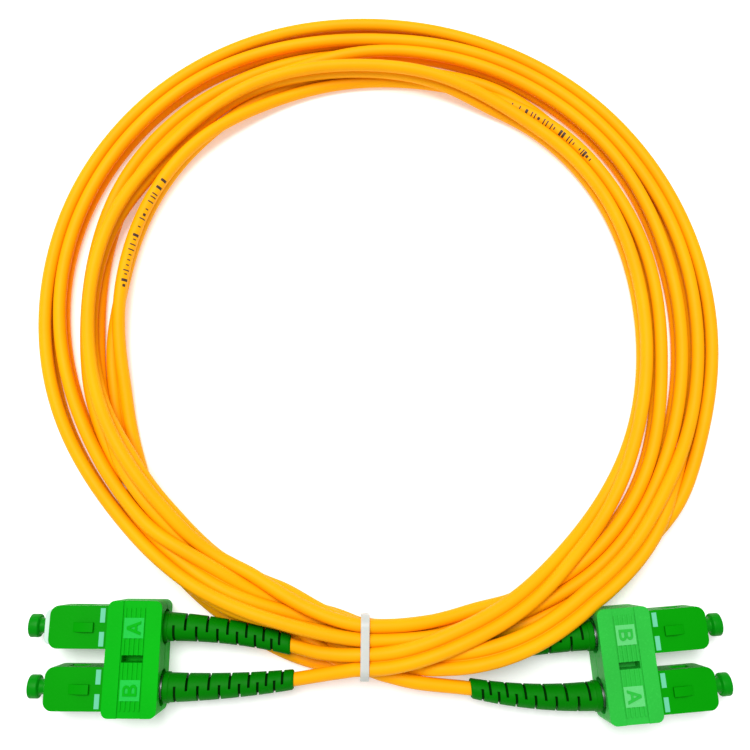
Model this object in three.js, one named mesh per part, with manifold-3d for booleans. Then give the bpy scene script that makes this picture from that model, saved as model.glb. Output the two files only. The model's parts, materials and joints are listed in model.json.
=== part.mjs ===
// Duplex fibre optic patch cord: two duplex push-pull plugs joined by a coil of twin cord.
// Millimetres, +Z up. The clips rest on z = 0, and the origin is under the middle of the two plugs.
import * as THREE from 'three';
import { mergeVertices } from 'three/addons/utils/BufferGeometryUtils.js';
import Module from 'manifold-3d';

// ---- Driving dimensions ----
const CHANNEL_PITCH = 12.7; // between the two plugs of one connector
const AXIS_HEIGHT = 5.3; // plug axis above the surface

const LEFT_PLUG = { x: -59, y: 0.47, turn: Math.PI };
const RIGHT_PLUG = { x: 59.2, y: 0.39, turn: 0.09 };

const CLIP = { length: 24, depth: 11.6, height: 10.6, corner: 1.5, split: 0.3, rearWall: 2.1 };
const CLIP_TRIM = { bandFrom: -8.3, bandTo: -3.3, sink: 0.3, ribs: 5, ribWidth: 0.45 };
const CLIP_SLOT = { length: 4.6, width: 1.5, depth: 4 };
const BOOT_PORT_RADIUS = 3.9;
const LETTER_PAD = { side: 4.3, lift: 0.25 };

const GRIP = { width: 9, height: 7.4, front: 12.8, rear: -9.2, corner: 2 };
const GRIP_BORE = { width: 7.8, height: 6.3 };
const GRIP_WINDOW = { from: 4.5, to: 8.5, height: 3.2 };
const KEY = { from: 3.2, flatTo: 5.4, to: 7.6, width: 2, height: 0.8, lip: 0.1, root: 0.2 };
const GRIP_TRAVEL = 1.6; // how far the grips slide back to release the latch

const FRAME = { width: 7.4, height: 5.9, front: 13.1, rear: -8.2, corner: 1.4 };
const FRAME_BORE = { front: 2.3, throat: 1.7, rear: 2.45, throatFrom: 4.2, throatTo: 5.2 };
const LATCH_NOTCH = { from: 5, to: 7.5, height: 2.8, depth: 0.6 };

const FERRULE = { radius: 1.25, tip: 12.5, rear: 1.9, bevel: 0.35, bevelLength: 0.8, bore: 0.14 };
// The angled end of an APC ferrule.
const POLISH = { angle: THREE.MathUtils.degToRad(8), back: 0.15, cutter: 4 };
const FLANGE = {
  cup: 2.15, cupFrom: 0.9, cupTo: 3.9, cupBore: 1.4,
  floor: 1.6, stem: 1.3, stemTo: -2.2, bore: 0.6,
};
const SPRING = { radius: 1.85, wire: 0.22, from: -5.9, to: 0.6, turns: 5, stepsPerTurn: 7, sides: 5 };
const STOP_RING = {
  plug: 2.2, plugFrom: -6.3, collar: 2.9, collarFrom: -8.5,
  neck: 2, neckFrom: -9.6, end: -13.4, bore: 0.8,
};
const CRIMP = { outer: 2.5, inner: 2.2, from: -9.9, to: -14.9 };
const BUFFER = { radius: 0.45, from: 0.4, to: -14.9 };

const CAP = {
  sleeve: 2, bore: 1.5, from: 6.6, floor: 12.7, shoulder: 13.3,
  neck: 1.6, knob: 2.5, knobFrom: 14.8, end: 17, round: 0.3,
};

const BOOT = { from: -11.9, to: -40, collar: 3.3, base: 3.1, tip: 2.15, collarLength: 1.3 };
const BOOT_BORE = { wide: 2.75, narrow: 1.78, step: -15.1 };
const BOOT_SLOTS = { count: 12, first: 2.5, firstPitch: 2.5, lastPitch: 1.5, width: 0.5, reach: 0.4 };

const CORD_RADIUS = 1.5; // each half of the twin cord
const CORD_START = -15.2;
const CORD_END_STEPS = 8;

// How far each plug body stands forward in its grip, and how far its boot tip leans towards the other boot.
const PLUGS = {
  left_a: { side: -1, forward: 0.9, lean: 3.7 },
  left_b: { side: 1, forward: 0, lean: 1.8 },
  right_a: { side: -1, forward: 0, lean: 3.9 },
  right_b: { side: 1, forward: 0, lean: 2.4 },
};

// The coil: an outer circle and a slightly oval hole, so it is thinnest at the tie and opposite it.
const COIL = { x: -0.2, y: 77.8, radius: 81.2, height: 11, edge: 2, inner: 52 };
const COIL_HOLE = { x: 0.1, y: 76.15, radiusX: 61.6, radiusY: 67.2 };
const TIE = { x: -3.6, width: 1.9, thickness: 0.8, from: -3.3, to: 9.1, bottom: 0.9, top: 10.1, round: 2.6 };

const ROUND_SIDES = { coil: 64, seen: 16, hidden: 12, thin: 8 };
const CLEARANCE = 0.3; // between pieces that meet face to face
const PATH_CLEARANCE = 0.7; // between the coil and what passes through its edge
const END_STUB = 3; // cord outside a boot before the coil takes over

// ---- Materials ----
const plastic = (color, roughness = 0.45) => new THREE.MeshStandardMaterial({ color, roughness, metalness: 0 });
const metal = (color, roughness = 0.35) => new THREE.MeshStandardMaterial({ color, roughness, metalness: 1 });
const MATERIALS = {
  clip: () => plastic(0x2ebf3c),
  grip: () => plastic(0x0f9a1c),
  frame: () => plastic(0xbfeadb),
  cap: () => plastic(0x128c1e),
  boot: () => plastic(0x0b6e14, 0.6),
  jacket: () => plastic(0xffb400, 0.5),
  tie: () => plastic(0xdfe4e0, 0.4),
  ceramic: () => plastic(0xf4f4f0, 0.15),
  steel: () => metal(0xb9bcc0),
  brass: () => metal(0xc9a24a),
  fibre: () => plastic(0xf2efe2, 0.4),
};

// ---- Solids ----
const library = await Module();
library.setup();

// Merges shared vertices, drops empty triangles and turns the faces outwards.
function weld(geometry) {
  const bare = geometry.clone();
  bare.deleteAttribute('normal');
  bare.deleteAttribute('uv');
  const merged = mergeVertices(bare);
  const position = merged.getAttribute('position');
  const source = merged.getIndex().array;
  const corner = [0, 1, 2].map(() => new THREE.Vector3());
  const triangles = [];
  let volume = 0;
  for (let i = 0; i < source.length; i += 3) {
    const [a, b, c] = [source[i], source[i + 1], source[i + 2]];
    if (a === b || b === c || c === a) continue;
    [a, b, c].forEach((vertex, k) => corner[k].fromBufferAttribute(position, vertex));
    volume += corner[0].dot(corner[1].clone().cross(corner[2])) / 6;
    triangles.push([a, b, c]);
  }
  const outward = volume > 0 ? triangles : triangles.map(([a, b, c]) => [a, c, b]);
  return { vertProperties: new Float32Array(position.array), triVerts: new Uint32Array(outward.flat()) };
}

function solid(geometry) {
  return new library.Manifold(new library.Mesh({ numProp: 3, ...weld(geometry) }));
}

function geometryOf(body) {
  const mesh = body.getMesh();
  const geometry = new THREE.BufferGeometry();
  geometry.setAttribute('position', new THREE.BufferAttribute(new Float32Array(mesh.vertProperties), 3));
  geometry.setIndex(new THREE.BufferAttribute(new Uint32Array(mesh.triVerts), 1));
  geometry.computeVertexNormals();
  return geometry;
}

function block([x0, x1], [y0, y1], [z0, z1]) {
  const geometry = new THREE.BoxGeometry(x1 - x0, y1 - y0, z1 - z0);
  return solid(geometry.translate((x0 + x1) / 2, (y0 + y1) / 2, (z0 + z1) / 2));
}

// A round solid about the X axis, from [x, radius] points, raised to the plug axis.
function turned(profile, sides) {
  const points = profile.map(([along, radius]) => new THREE.Vector2(radius, along));
  const geometry = new THREE.LatheGeometry(points, sides);
  return solid(geometry.rotateZ(-Math.PI / 2).translate(0, 0, AXIS_HEIGHT));
}

// A flat outline in plan, extruded between two heights.
function slab(shape, bottom, top, curveSegments = 4) {
  const geometry = new THREE.ExtrudeGeometry(shape, { depth: top - bottom, bevelEnabled: false, curveSegments });
  return solid(geometry.translate(0, 0, bottom));
}

function rectangle(x0, x1, y0, y1, corner) {
  const shape = new THREE.Shape();
  shape.moveTo(x0 + corner, y0);
  shape.lineTo(x1 - corner, y0);
  shape.absarc(x1 - corner, y0 + corner, corner, -Math.PI / 2, 0);
  shape.absarc(x1 - corner, y1 - corner, corner, 0, Math.PI / 2);
  shape.absarc(x0 + corner, y1 - corner, corner, Math.PI / 2, Math.PI);
  shape.absarc(x0 + corner, y0 + corner, corner, Math.PI, Math.PI * 1.5);
  shape.closePath();
  return shape;
}

// Square at the back, rounded at the two front corners.
function noseOutline(rear, front, width, corner) {
  const half = width / 2;
  const shape = new THREE.Shape();
  shape.moveTo(rear, -half);
  shape.lineTo(front - corner, -half);
  shape.absarc(front - corner, corner - half, corner, -Math.PI / 2, 0);
  shape.absarc(front - corner, half - corner, corner, 0, Math.PI / 2);
  shape.lineTo(rear, half);
  shape.closePath();
  return shape;
}

function regularSection(radius, sides) {
  const corners = Array.from({ length: sides }, (_, i) => {
    const angle = (i + 0.5) * 2 * Math.PI / sides;
    return new THREE.Vector2(radius * Math.cos(angle), radius * Math.sin(angle));
  });
  return new THREE.Shape(corners);
}

function rod(curve, radius, sides, steps) {
  return solid(new THREE.ExtrudeGeometry(regularSection(radius, sides), { steps, extrudePath: curve }));
}

// ---- One plug, along +X with its axis at y = 0 ----
function grip() {
  const bottom = AXIS_HEIGHT - GRIP.height / 2;
  const top = AXIS_HEIGHT + GRIP.height / 2;
  const shell = slab(noseOutline(GRIP.rear, GRIP.front, GRIP.width, GRIP.corner), bottom, top);
  const halfHeight = GRIP_BORE.height / 2;
  const bore = block([GRIP.rear - 1, GRIP.front + 1], [-GRIP_BORE.width / 2, GRIP_BORE.width / 2],
    [AXIS_HEIGHT - halfHeight, AXIS_HEIGHT + halfHeight]);
  const windows = block([GRIP_WINDOW.from, GRIP_WINDOW.to], [-GRIP.width, GRIP.width],
    [AXIS_HEIGHT - GRIP_WINDOW.height / 2, AXIS_HEIGHT + GRIP_WINDOW.height / 2]);
  return shell.add(key(top)).subtract(bore).subtract(windows);
}

// The key on top of the grip, stepped at the back and ramped at the front.
function key(top) {
  const root = top - KEY.root;
  const profile = new THREE.Shape([
    new THREE.Vector2(KEY.from, root),
    new THREE.Vector2(KEY.to, root),
    new THREE.Vector2(KEY.to, top + KEY.lip),
    new THREE.Vector2(KEY.flatTo, top + KEY.height),
    new THREE.Vector2(KEY.from, top + KEY.height),
  ]);
  const geometry = new THREE.ExtrudeGeometry(profile, { depth: KEY.width, bevelEnabled: false });
  return solid(geometry.rotateX(Math.PI / 2).translate(0, KEY.width / 2, 0));
}

function plugFrame() {
  const outline = noseOutline(FRAME.rear, FRAME.front, FRAME.width, FRAME.corner);
  const halfHeight = FRAME.height / 2;
  const body = slab(outline, AXIS_HEIGHT - halfHeight, AXIS_HEIGHT + halfHeight);
  const bore = turned([
    [FRAME.rear - 1, 0],
    [FRAME.rear - 1, FRAME_BORE.rear],
    [FRAME_BORE.throatFrom, FRAME_BORE.rear],
    [FRAME_BORE.throatFrom, FRAME_BORE.throat],
    [FRAME_BORE.throatTo, FRAME_BORE.throat],
    [FRAME_BORE.throatTo, FRAME_BORE.front],
    [FRAME.front + 1, FRAME_BORE.front],
    [FRAME.front + 1, 0],
  ], ROUND_SIDES.seen);
  const notches = [-1, 1].map((side) => block([LATCH_NOTCH.from, LATCH_NOTCH.to],
    [side * FRAME.width / 2 - LATCH_NOTCH.depth, side * FRAME.width / 2 + LATCH_NOTCH.depth],
    [AXIS_HEIGHT - LATCH_NOTCH.height / 2, AXIS_HEIGHT + LATCH_NOTCH.height / 2]));
  return notches.reduce((frame, notch) => frame.subtract(notch), body.subtract(bore));
}

// Ceramic ferrule with a bevelled tip, polished at the angle of an APC plug.
function ferrule() {
  const body = turned([
    [FERRULE.rear, FERRULE.bore],
    [FERRULE.rear, FERRULE.radius],
    [FERRULE.tip - FERRULE.bevelLength, FERRULE.radius],
    [FERRULE.tip, FERRULE.radius - FERRULE.bevel],
    [FERRULE.tip, FERRULE.bore],
    [FERRULE.rear, FERRULE.bore],
  ], ROUND_SIDES.hidden);
  const { angle, back, cutter } = POLISH;
  const cut = new THREE.BoxGeometry(cutter, 2 * cutter, 2 * cutter).translate(cutter / 2, 0, 0);
  return body.subtract(solid(cut.rotateY(angle).translate(FERRULE.tip - back, 0, AXIS_HEIGHT)));
}

function ferruleFlange() {
  return turned([
    [FLANGE.stemTo, FLANGE.bore],
    [FLANGE.stemTo, FLANGE.stem],
    [FLANGE.cupFrom, FLANGE.stem],
    [FLANGE.cupFrom, FLANGE.cup],
    [FLANGE.cupTo, FLANGE.cup],
    [FLANGE.cupTo, FLANGE.cupBore],
    [FLANGE.floor, FLANGE.cupBore],
    [FLANGE.floor, FLANGE.bore],
    [FLANGE.stemTo, FLANGE.bore],
  ], ROUND_SIDES.hidden);
}

class SpringCurve extends THREE.Curve {
  getPoint(t, target = new THREE.Vector3()) {
    const angle = 2 * Math.PI * SPRING.turns * t;
    const along = THREE.MathUtils.lerp(SPRING.from + SPRING.wire, SPRING.to - SPRING.wire, t);
    return target.set(along, SPRING.radius * Math.cos(angle), AXIS_HEIGHT + SPRING.radius * Math.sin(angle));
  }
}

function ferruleSpring() {
  return rod(new SpringCurve(), SPRING.wire, SPRING.sides, SPRING.turns * SPRING.stepsPerTurn);
}

function stopRing() {
  return turned([
    [STOP_RING.end, STOP_RING.bore],
    [STOP_RING.end, STOP_RING.neck],
    [STOP_RING.neckFrom, STOP_RING.neck],
    [STOP_RING.neckFrom, STOP_RING.collar],
    [STOP_RING.collarFrom, STOP_RING.collar],
    [STOP_RING.collarFrom, STOP_RING.plug],
    [STOP_RING.plugFrom, STOP_RING.plug],
    [STOP_RING.plugFrom, STOP_RING.bore],
    [STOP_RING.end, STOP_RING.bore],
  ], ROUND_SIDES.hidden);
}

function crimpSleeve() {
  return turned([
    [CRIMP.to, CRIMP.inner],
    [CRIMP.to, CRIMP.outer],
    [CRIMP.from, CRIMP.outer],
    [CRIMP.from, CRIMP.inner],
    [CRIMP.to, CRIMP.inner],
  ], ROUND_SIDES.hidden);
}

function fibreBuffer() {
  const { radius, from, to } = BUFFER;
  return turned([[to, 0], [to, radius], [from, radius], [from, 0]], ROUND_SIDES.thin);
}

// Dust cap: a sleeve over the ferrule, a neck and a round knob to pull it by.
function dustCap() {
  return turned([
    [CAP.floor, 0],
    [CAP.floor, CAP.bore],
    [CAP.from, CAP.bore],
    [CAP.from, CAP.sleeve],
    [CAP.shoulder, CAP.sleeve],
    [CAP.shoulder, CAP.neck],
    [CAP.knobFrom, CAP.neck],
    [CAP.knobFrom, CAP.knob - CAP.round],
    [CAP.knobFrom + CAP.round, CAP.knob],
    [CAP.end - CAP.round, CAP.knob],
    [CAP.end, CAP.knob - CAP.round],
    [CAP.end, 0],
  ], ROUND_SIDES.seen);
}

// How far sideways the boot and the cord in it have bent, at a place along the plug.
function bootLean(along, lean) {
  const start = -CLIP.depth;
  const reach = Math.max(0, (start - along) / (start - BOOT.to));
  return lean * reach * reach;
}

function bootSlots() {
  const slots = [];
  let along = BOOT.from - BOOT_SLOTS.first;
  for (let i = 0; i < BOOT_SLOTS.count; i += 1) {
    const side = i % 2 === 0 ? 1 : -1;
    const across = [side * BOOT_SLOTS.reach, side * 2 * BOOT.collar].sort((one, other) => one - other);
    slots.push(block([along - BOOT_SLOTS.width, along], across,
      [AXIS_HEIGHT - 2 * BOOT.collar, AXIS_HEIGHT + 2 * BOOT.collar]));
    along -= THREE.MathUtils.lerp(BOOT_SLOTS.firstPitch, BOOT_SLOTS.lastPitch, i / BOOT_SLOTS.count);
  }
  return slots;
}

function boot(lean) {
  const straight = turned([
    [BOOT.to, BOOT_BORE.narrow],
    [BOOT.to, BOOT.tip],
    [BOOT.from - BOOT.collarLength, BOOT.base],
    [BOOT.from - BOOT.collarLength, BOOT.collar],
    [BOOT.from, BOOT.collar],
    [BOOT.from, BOOT_BORE.wide],
    [BOOT_BORE.step, BOOT_BORE.wide],
    [BOOT_BORE.step, BOOT_BORE.narrow],
    [BOOT.to, BOOT_BORE.narrow],
  ], ROUND_SIDES.hidden);
  const slotted = bootSlots().reduce((body, slot) => body.subtract(slot), straight);
  const geometry = geometryOf(slotted);
  const position = geometry.getAttribute('position');
  for (let i = 0; i < position.count; i += 1) {
    position.setY(i, position.getY(i) + bootLean(position.getX(i), lean));
  }
  return solid(geometry);
}

// The end of one cord half, from the crimp through the boot and a little way out of it.
function cordEndPoints(lean, last = BOOT.to - END_STUB) {
  return Array.from({ length: CORD_END_STEPS + 1 }, (_, i) => {
    const along = THREE.MathUtils.lerp(CORD_START, last, i / CORD_END_STEPS);
    return new THREE.Vector3(along, bootLean(along, lean), AXIS_HEIGHT);
  });
}

function cordEnd(lean) {
  return rod(new THREE.CatmullRomCurve3(cordEndPoints(lean)), CORD_RADIUS, ROUND_SIDES.thin, CORD_END_STEPS);
}

// ---- The duplex clip, in two halves that meet at the plug axis ----
function clipHollow() {
  const halfPitch = CHANNEL_PITCH / 2;
  const halfWidth = GRIP.width / 2 + CLEARANCE;
  const halfHeight = GRIP.height / 2 + CLEARANCE;
  const bays = [-halfPitch, halfPitch].map((y) => block([CLIP.rearWall - CLIP.depth, 1],
    [y - halfWidth, y + halfWidth], [AXIS_HEIGHT - halfHeight, AXIS_HEIGHT + halfHeight]));
  const ports = [-halfPitch, halfPitch].map((y) => {
    const disc = new THREE.CylinderGeometry(BOOT_PORT_RADIUS, BOOT_PORT_RADIUS, CLIP.depth, ROUND_SIDES.seen);
    return solid(disc.rotateZ(Math.PI / 2).translate(-CLIP.depth, y, AXIS_HEIGHT));
  });
  return [...bays, ...ports].reduce((all, one) => all.add(one));
}

function clipBlank() {
  return slab(rectangle(-CLIP.depth, 0, -CLIP.length / 2, CLIP.length / 2, CLIP.corner), 0, CLIP.height, 3);
}

// The sunk band along the top, with its fine ribs, its two letter pads and its slot.
function clipTopTrim() {
  const { bandFrom, bandTo, sink, ribs, ribWidth } = CLIP_TRIM;
  const floor = CLIP.height - sink;
  const band = block([bandFrom, bandTo], [-CLIP.length, CLIP.length], [floor, CLIP.height + 1]);
  const pitch = (bandTo - bandFrom) / ribs;
  const ribBars = Array.from({ length: ribs }, (_, i) => {
    const middle = bandFrom + (i + 0.5) * pitch;
    return block([middle - ribWidth / 2, middle + ribWidth / 2], [-CLIP.length / 2 + CLIP.corner,
      CLIP.length / 2 - CLIP.corner], [floor - sink, CLIP.height - 0.05]);
  });
  const middle = (bandFrom + bandTo) / 2;
  const halfPad = LETTER_PAD.side / 2;
  const pads = [-1, 1].map((side) => {
    const y = side * CHANNEL_PITCH / 2;
    return block([middle - halfPad, middle + halfPad], [y - halfPad, y + halfPad],
      [floor - sink, floor + LETTER_PAD.lift]);
  });
  const clearing = [-1, 1].map((side) => {
    const y = side * CHANNEL_PITCH / 2;
    return block([middle - halfPad, middle + halfPad], [y - halfPad, y + halfPad], [floor, CLIP.height + 1]);
  });
  const slot = block([middle - CLIP_SLOT.length / 2, middle + CLIP_SLOT.length / 2],
    [-CLIP_SLOT.width / 2, CLIP_SLOT.width / 2], [CLIP.height - CLIP_SLOT.depth, CLIP.height + 1]);
  return { band, ribBars, pads, clearing, slot };
}

function clipUpper() {
  const above = block([-2 * CLIP.depth, CLIP.depth], [-CLIP.length, CLIP.length],
    [AXIS_HEIGHT + CLIP.split / 2, 2 * CLIP.height]);
  const { band, ribBars, pads, clearing, slot } = clipTopTrim();
  let body = clipBlank().subtract(band);
  body = ribBars.reduce((all, rib) => all.add(rib), body);
  body = clearing.reduce((all, one) => all.subtract(one), body);
  body = pads.reduce((all, pad) => all.add(pad), body);
  return body.subtract(slot).subtract(clipHollow()).intersect(above);
}

function clipLower() {
  const below = block([-2 * CLIP.depth, CLIP.depth], [-CLIP.length, CLIP.length],
    [-CLIP.height, AXIS_HEIGHT - CLIP.split / 2]);
  return clipBlank().subtract(clipHollow()).intersect(below);
}

// ---- The coil and its tie, in the frame of the whole part ----
// A strip in plan, wide enough for something that passes along the given points.
function corridor(points, halfWidth) {
  const left = [];
  const right = [];
  points.forEach((point, i) => {
    const before = points[Math.max(0, i - 1)];
    const after = points[Math.min(points.length - 1, i + 1)];
    const across = new THREE.Vector2(before.y - after.y, after.x - before.x).normalize().multiplyScalar(halfWidth);
    left.push(new THREE.Vector2(point.x + across.x, point.y + across.y));
    right.push(new THREE.Vector2(point.x - across.x, point.y - across.y));
  });
  return slab(new THREE.Shape([...left, ...right.reverse()]), -COIL.height, 2 * COIL.height);
}

function placed(points, plug) {
  const cos = Math.cos(plug.turn);
  const sin = Math.sin(plug.turn);
  return points.map(({ x, y }) => new THREE.Vector2(plug.x + x * cos - y * sin, plug.y + x * sin + y * cos));
}

function coilBlank() {
  const { inner, radius, height, edge } = COIL;
  const section = [
    [inner, 0],
    [radius - edge, 0],
    [radius, edge],
    [radius, height - edge],
    [radius - edge, height],
    [inner, height],
    [inner, 0],
  ];
  const lathe = new THREE.LatheGeometry(section.map(([r, z]) => new THREE.Vector2(r, z)), ROUND_SIDES.coil);
  const hole = new THREE.CylinderGeometry(1, 1, 4 * height, ROUND_SIDES.coil).rotateX(Math.PI / 2);
  hole.scale(COIL_HOLE.radiusX, COIL_HOLE.radiusY, 1).translate(COIL_HOLE.x, COIL_HOLE.y, 0);
  return solid(lathe.rotateX(Math.PI / 2).translate(COIL.x, COIL.y, 0)).subtract(solid(hole));
}

function tieLoop(grow, x0, x1) {
  const outline = rectangle(TIE.from - grow, TIE.to + grow, TIE.bottom - grow, TIE.top + grow, TIE.round);
  const options = { depth: x1 - x0, bevelEnabled: false, curveSegments: 4 };
  const geometry = new THREE.ExtrudeGeometry(outline, options);
  // The outline's own x and y become the part's Y and Z.
  return solid(geometry.rotateY(Math.PI / 2).rotateX(Math.PI / 2).translate(x0, 0, 0));
}

function cableTie() {
  const x0 = TIE.x - TIE.width / 2;
  const x1 = TIE.x + TIE.width / 2;
  return tieLoop(TIE.thickness, x0, x1).subtract(tieLoop(0, x0 - 1, x1 + 1));
}

function coil() {
  let body = coilBlank();
  for (const [name, plug] of Object.entries(PLUGS)) {
    const connector = name.startsWith('left') ? LEFT_PLUG : RIGHT_PLUG;
    const y = plug.side * CHANNEL_PITCH / 2;
    const points = cordEndPoints(-plug.side * plug.lean, BOOT.to - END_STUB - CLEARANCE);
    const path = points.map((point) => ({ x: point.x + plug.forward, y: point.y + y }));
    body = body.subtract(corridor(placed(path, connector), BOOT.base + PATH_CLEARANCE));
  }
  const margin = PATH_CLEARANCE + CLEARANCE;
  for (const connector of [LEFT_PLUG, RIGHT_PLUG]) {
    const ends = [{ x: 1, y: 0 }, { x: -CLIP.depth - GRIP_TRAVEL - margin, y: 0 }];
    body = body.subtract(corridor(placed(ends, connector), CLIP.length / 2 + margin));
  }
  const grooveFrom = TIE.x - TIE.width / 2 - CLEARANCE;
  const grooveTo = TIE.x + TIE.width / 2 + CLEARANCE;
  const around = block([grooveFrom, grooveTo], [TIE.from - COIL.height, TIE.to + COIL.height], [-1, 2 * COIL.height]);
  body = body.subtract(around.subtract(tieLoop(-CLEARANCE, grooveFrom - 1, grooveTo + 1)));
  // The cuts leave slivers between the boots, which aren't part of the coil.
  return body.decompose().sort((one, other) => other.volume() - one.volume())[0];
}

// ---- Assembly ----
const part = new THREE.Group();

function addMesh(group, name, body, material) {
  const mesh = new THREE.Mesh(geometryOf(body), material());
  mesh.name = name;
  group.add(mesh);
}

for (const [side, connector] of Object.entries({ left: LEFT_PLUG, right: RIGHT_PLUG })) {
  const group = new THREE.Group();
  group.position.set(connector.x, connector.y, 0);
  group.rotation.z = connector.turn;
  part.add(group);
  addMesh(group, `clip_upper_${side}`, clipUpper(), MATERIALS.clip);
  addMesh(group, `clip_lower_${side}`, clipLower(), MATERIALS.clip);
  for (const channel of ['a', 'b']) {
    const name = `${side}_${channel}`;
    const plug = PLUGS[name];
    const lean = -plug.side * plug.lean;
    const outer = new THREE.Group();
    outer.position.y = plug.side * CHANNEL_PITCH / 2;
    group.add(outer);
    const inner = new THREE.Group();
    inner.position.x = plug.forward;
    outer.add(inner);
    addMesh(outer, `grip_${name}`, grip(), MATERIALS.grip);
    addMesh(inner, `plug_frame_${name}`, plugFrame(), MATERIALS.frame);
    addMesh(inner, `dust_cap_${name}`, dustCap(), MATERIALS.cap);
    addMesh(inner, `ferrule_${name}`, ferrule(), MATERIALS.ceramic);
    addMesh(inner, `ferrule_flange_${name}`, ferruleFlange(), MATERIALS.steel);
    addMesh(inner, `ferrule_spring_${name}`, ferruleSpring(), MATERIALS.steel);
    addMesh(inner, `stop_ring_${name}`, stopRing(), MATERIALS.brass);
    addMesh(inner, `crimp_sleeve_${name}`, crimpSleeve(), MATERIALS.steel);
    addMesh(inner, `fibre_buffer_${name}`, fibreBuffer(), MATERIALS.fibre);
    addMesh(inner, `boot_${name}`, boot(lean), MATERIALS.boot);
    addMesh(inner, `cord_end_${name}`, cordEnd(lean), MATERIALS.jacket);
  }
}

addMesh(part, 'cord_coil', coil(), MATERIALS.jacket);
addMesh(part, 'cable_tie', cableTie(), MATERIALS.tie);

export default part;
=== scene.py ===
"""Looks of the duplex fibre optic patch cord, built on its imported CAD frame. Blender 4.5."""

import json
import math
import random

import bmesh
import bpy
import numpy as np
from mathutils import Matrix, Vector

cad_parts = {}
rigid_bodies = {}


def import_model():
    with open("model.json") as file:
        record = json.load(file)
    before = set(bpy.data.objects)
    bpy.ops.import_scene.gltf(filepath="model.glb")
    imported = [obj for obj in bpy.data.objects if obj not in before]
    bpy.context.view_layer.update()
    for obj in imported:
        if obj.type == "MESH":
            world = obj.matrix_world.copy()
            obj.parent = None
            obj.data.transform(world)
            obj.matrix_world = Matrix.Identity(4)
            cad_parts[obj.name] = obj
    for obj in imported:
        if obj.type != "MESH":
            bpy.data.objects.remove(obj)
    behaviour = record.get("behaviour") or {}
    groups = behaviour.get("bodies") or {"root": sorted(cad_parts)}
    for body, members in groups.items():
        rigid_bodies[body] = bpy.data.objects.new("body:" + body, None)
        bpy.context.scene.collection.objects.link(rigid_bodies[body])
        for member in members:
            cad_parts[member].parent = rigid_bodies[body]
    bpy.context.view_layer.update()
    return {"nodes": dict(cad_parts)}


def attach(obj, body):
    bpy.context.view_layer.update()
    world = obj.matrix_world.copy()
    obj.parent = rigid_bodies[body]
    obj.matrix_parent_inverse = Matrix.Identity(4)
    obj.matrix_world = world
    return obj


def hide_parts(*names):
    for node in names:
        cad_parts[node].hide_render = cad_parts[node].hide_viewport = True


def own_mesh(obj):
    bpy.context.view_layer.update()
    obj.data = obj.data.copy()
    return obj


for leftover in list(bpy.data.objects):
    bpy.data.objects.remove(leftover)
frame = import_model()
MM = 0.001

# ---- Driving dimensions in millimetres ----
CHANNEL_PITCH = 12.7
AXIS_HEIGHT = 5.3
# where each connector's clip face is, and how it is turned
CONNECTORS = {"left": (-59.0, 0.47, math.pi), "right": (59.2, 0.39, 0.09)}
CLIP = {"length": 24.0, "depth": 11.6, "height": 10.6, "corner": 1.5}
PAD = {"along": -5.8, "side": 4.3, "top": 10.55, "gap": 0.05, "depth": 0.1, "lift": 0.03}
LETTER_LIFT = 0.22
GRIP_TOP = 9.0
# the pale bars on each grip, measured from the clip's face and from the plug's own line
GRIP_BARS = {"from": 0.9, "to": 1.95, "inner": 0.98, "outer": 3.98, "depth": 0.2, "lift": 0.03}
# the spring round each plug's rear body
SPRING = {"radius": 1.85, "wire": 0.22, "from": -5.9, "to": 0.6, "turns": 5, "steps": 24, "sides": 8}
BOOT = {"from": -11.9, "to": -40.0, "collar": 3.3, "collar_length": 1.3, "base": 3.1, "tip": 2.15}
BOOT_BORE = {"wide": 2.75, "narrow": 1.8, "step": -15.1}
# the thin sleeve in the boot that closes its slots, coloured near black as painted shade seen through them,
# and how far it stands in from the boot's own faces
SLEEVE = {
    "inner": 1.56, "outer": 1.9, "overlap": 0.05, "wide_wall": 0.15, "front": 0.3, "back": 0.35, "seat": 0.02,
}
BOOT_SLOTS = {"count": 12, "first": 2.5, "first_pitch": 2.5, "last_pitch": 1.5, "width": 0.55, "reach": -0.5}
BOOT_EDGE = 0.25
BOOT_SIDES = 40
BOOT_RINGS = 46
CAP = {
    "sleeve": 2.0, "bore": 1.5, "from": 6.6, "floor": 12.7, "shoulder": 13.3,
    "neck": 1.6, "knob": 2.5, "knob_from": 14.8, "end": 17.0,
    "dish": 0.35, "dish_rim": 1.7, "dish_floor": 1.4, "on_axis": 0.02, "rounding": 0.45,
}
# each plug's side of its connector, how far it stands forward, and how far its boot's tip leans inwards
PLUGS = {
    "left_a": (-1, 0.9, 3.7),
    "left_b": (1, 0.0, 1.8),
    "right_a": (-1, 0.0, 3.9),
    "right_b": (1, 0.0, 2.4),
}
CORD_RADIUS = 1.5
CORD_START = -15.2
# how far inside the boot's tip the settled part of the cord begins
CORD_HANDOVER = 3
WEB_RADIUS = 0.42
COIL_MIDDLE = (-0.2, 77.8)

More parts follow.
